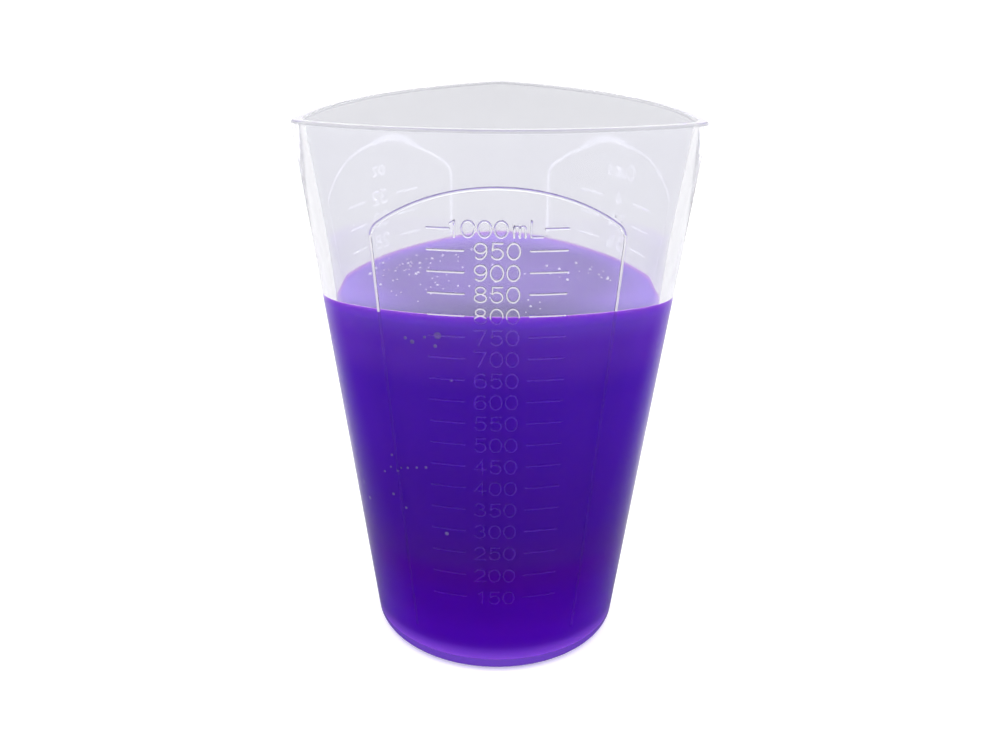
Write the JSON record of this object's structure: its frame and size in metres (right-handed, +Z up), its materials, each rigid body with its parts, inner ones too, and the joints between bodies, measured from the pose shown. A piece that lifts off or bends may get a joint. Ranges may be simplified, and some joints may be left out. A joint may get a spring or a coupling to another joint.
{
  "type": "resin mixing cup",
  "caption": "Translucent flexible mixing cup with a round foot, a three-cornered pouring mouth, raised volume scales on each side and a fill of violet resin.",
  "frame": {"origin": "centre of the round foot, on its underside where the cup stands", "axes": "+Z up through the mouth, -Y towards the panel with the millilitre scale, +Y towards the pouring corner opposite it"},
  "size_m": [0.1174, 0.1164, 0.1795],
  "materials": {
    "cup": "translucent milky, smooth satin",
    "marks": "translucent, glossy raised strokes",
    "resin": "glossy deep violet, slightly clear at the edges"
  },
  "bodies": {
    "cup": {"cup_shell": "cup", "border_ml": "marks", "border_cups": "marks", "border_oz": "marks", "scale_ml": "marks", "scale_cups": "marks", "scale_oz": "marks"},
    "resin": {"resin_fill": "resin"}
  },
  "joints": [
    {"name": "resin_lift", "type": "slide", "parent": "cup", "child": "resin", "axis": [0, 0, 1], "range_m": [0, 0.185]}
  ]
}
